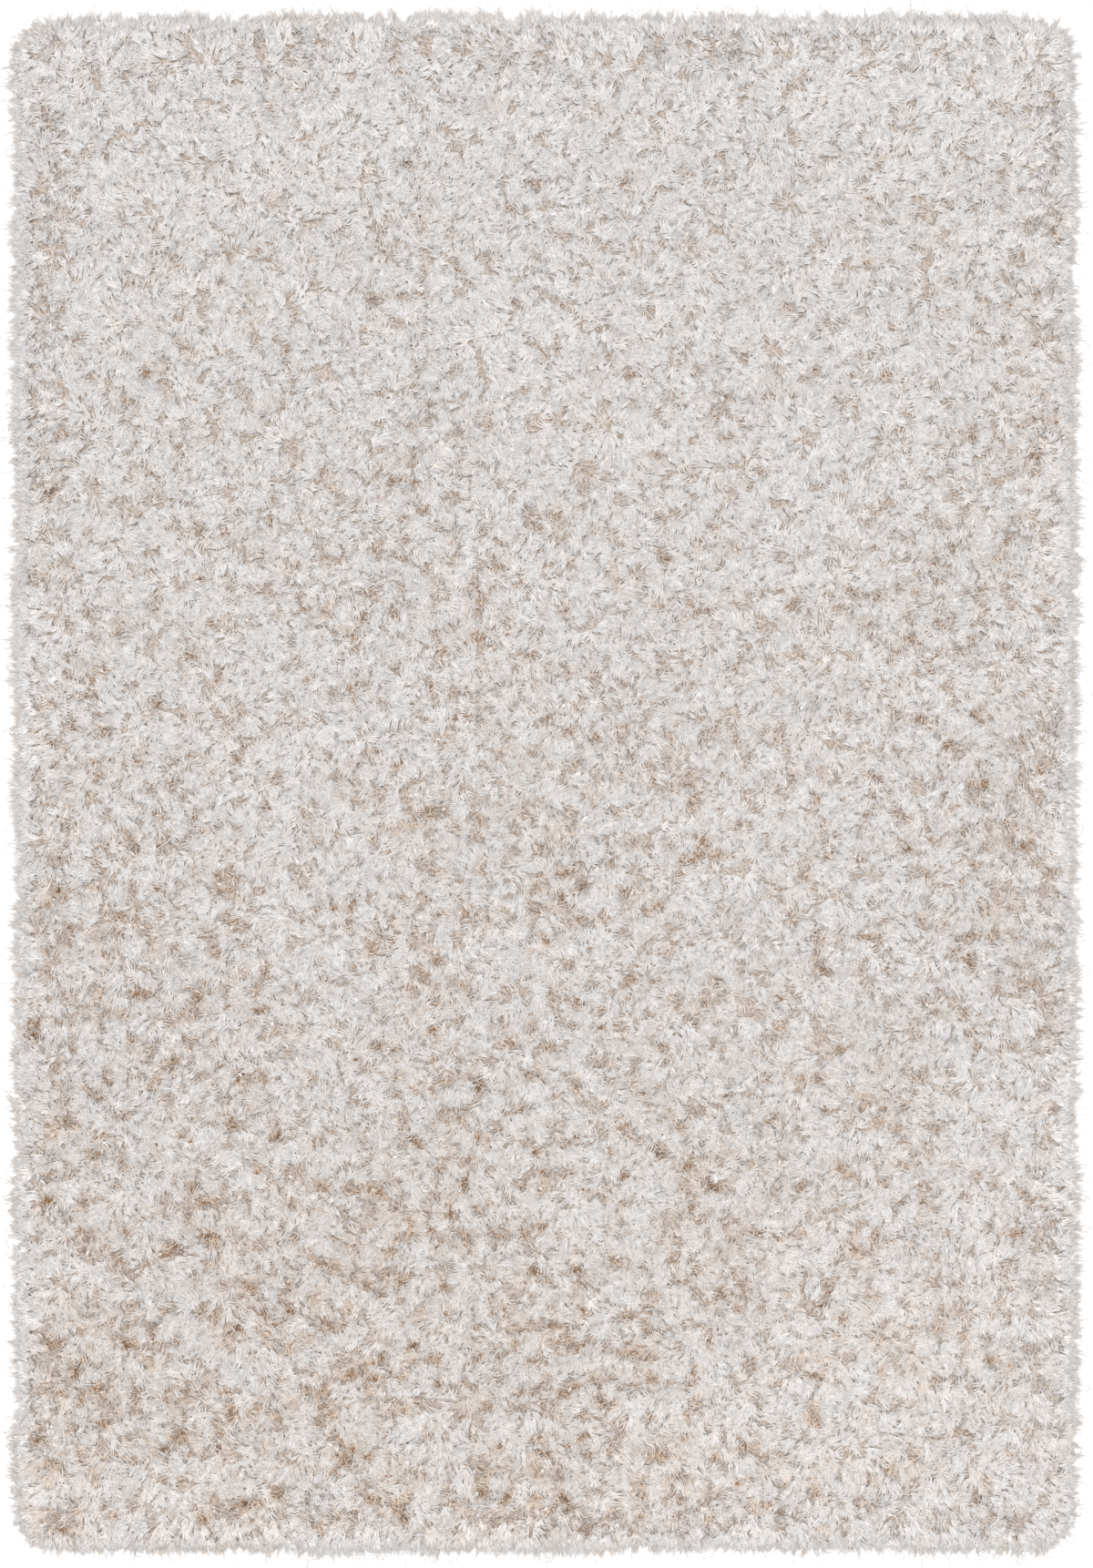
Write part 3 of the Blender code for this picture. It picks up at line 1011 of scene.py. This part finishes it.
def add_glints():
    """Short slips painted pale as highlights, that lie almost level over the middle of a lock."""
    own = rng.integers(0, lock_count, GLINTS)
    ahead = top_points[own, LEFT_TIP] - top_points[own, MIDDLE]
    ahead[:, 2] = rng.normal(0, GLINT_SLOPE, GLINTS)
    ahead = unit(ahead)
    side = np.cross(ahead, (0.0, 0.0, 1.0))
    side[:, 2] = rng.normal(0, GLINT_TILT, GLINTS)
    side = unit(side)
    middle = top_points[own, MIDDLE] + GLINT_LIFT * np.cross(side, ahead)
    middle += rng.uniform(*GLINT_AHEAD, (GLINTS, 1)) * ahead
    middle += rng.uniform(*GLINT_ASIDE, (GLINTS, 1)) * side
    length = rng.uniform(*GLINT_LENGTHS, (GLINTS, 1)) * ahead
    width = rng.uniform(*GLINT_WIDTHS, (GLINTS, 1)) * side
    points = [middle - length, middle + width, middle + length, middle - width]
    points = fit_to_form(np.stack(points, axis=1))
    across, along = np.array([0.5, 1.0, 0.5, 0.0]), np.array([0.0, 0.5, 1.0, 0.5])
    tint, tone = rng.uniform(*GLINT_TINTS, GLINTS), rng.uniform(*GLINT_TONES, GLINTS)
    glossy = yarn_material("pile_glint", GLINT_ROUGHNESS)
    faces = np.array([[0, 1, 2, 3]])
    return add_slips("pile_glints", points, faces, across, along, tint, tone, glossy)


pile_pieces += [add_strands(), add_glints()]

# ---- Floor, light and camera ----
# A plain pale studio floor, with a little light of its own so that it stays near white. One
# large soft lamp hangs over the rug in an evenly lit room, and the camera looks straight
# down from where the rug fills the frame as it does in the photograph.

FLOOR_SIZE = 60.0
FLOOR_DROP = 0.0005
FLOOR_COLOUR = (0.88, 0.88, 0.88, 1.0)
FLOOR_ROUGHNESS = 0.9
FLOOR_GLOW = 0.3
WHITE = (1.0, 1.0, 1.0, 1.0)
FRAME_LENGTH_PX = 1722
PIXEL = 0.001371
LENS = 100.0
SENSOR = 36.0
FRAME_MIDDLE = (0.0019, -0.0004)
FOCUS_HEIGHT = 0.015
LAMP_PLACE = (-0.5, 0.5, 20.0)
LAMP_SIZE = 7.7
LAMP_POWER = 3195
ROOM_LIGHT = 0.308

floor_data = bpy.data.meshes.new("floor")
reach = FLOOR_SIZE / 2
floor_corners = [(-reach, -reach, 0), (reach, -reach, 0), (reach, reach, 0), (-reach, reach, 0)]
floor_data.from_pydata(floor_corners, [], [(0, 1, 2, 3)])
floor = bpy.data.objects.new("floor", floor_data)
bpy.context.scene.collection.objects.link(floor)
floor_material, floor_tree, floor_shader = new_material("pale_floor", FLOOR_ROUGHNESS)
floor_shader.inputs["Base Color"].default_value = FLOOR_COLOUR
floor_shader.inputs["Emission Color"].default_value = WHITE
floor_shader.inputs["Emission Strength"].default_value = FLOOR_GLOW
floor_data.materials.append(floor_material)
floor.location.z = -FLOOR_DROP

camera_data = bpy.data.cameras.new("camera")
camera_data.lens = LENS
camera_data.sensor_width = SENSOR
camera = bpy.data.objects.new("camera", camera_data)
bpy.context.scene.collection.objects.link(camera)
camera.location = (*FRAME_MIDDLE, FOCUS_HEIGHT + FRAME_LENGTH_PX * PIXEL * LENS / SENSOR)
bpy.context.scene.camera = camera

lamp_data = bpy.data.lights.new("overhead", "AREA")
lamp_data.size = LAMP_SIZE
lamp_data.energy = LAMP_POWER
lamp = bpy.data.objects.new("overhead", lamp_data)
bpy.context.scene.collection.objects.link(lamp)
lamp.location = LAMP_PLACE
lamp.rotation_euler = (-Vector(LAMP_PLACE)).to_track_quat("-Z", "Y").to_euler()

world = bpy.data.worlds.new("studio")
world.use_nodes = True
background = world.node_tree.nodes["Background"]
background.inputs["Color"].default_value = WHITE
background.inputs["Strength"].default_value = ROOM_LIGHT
bpy.context.scene.world = world
bpy.context.scene.view_settings.view_transform = "Standard"
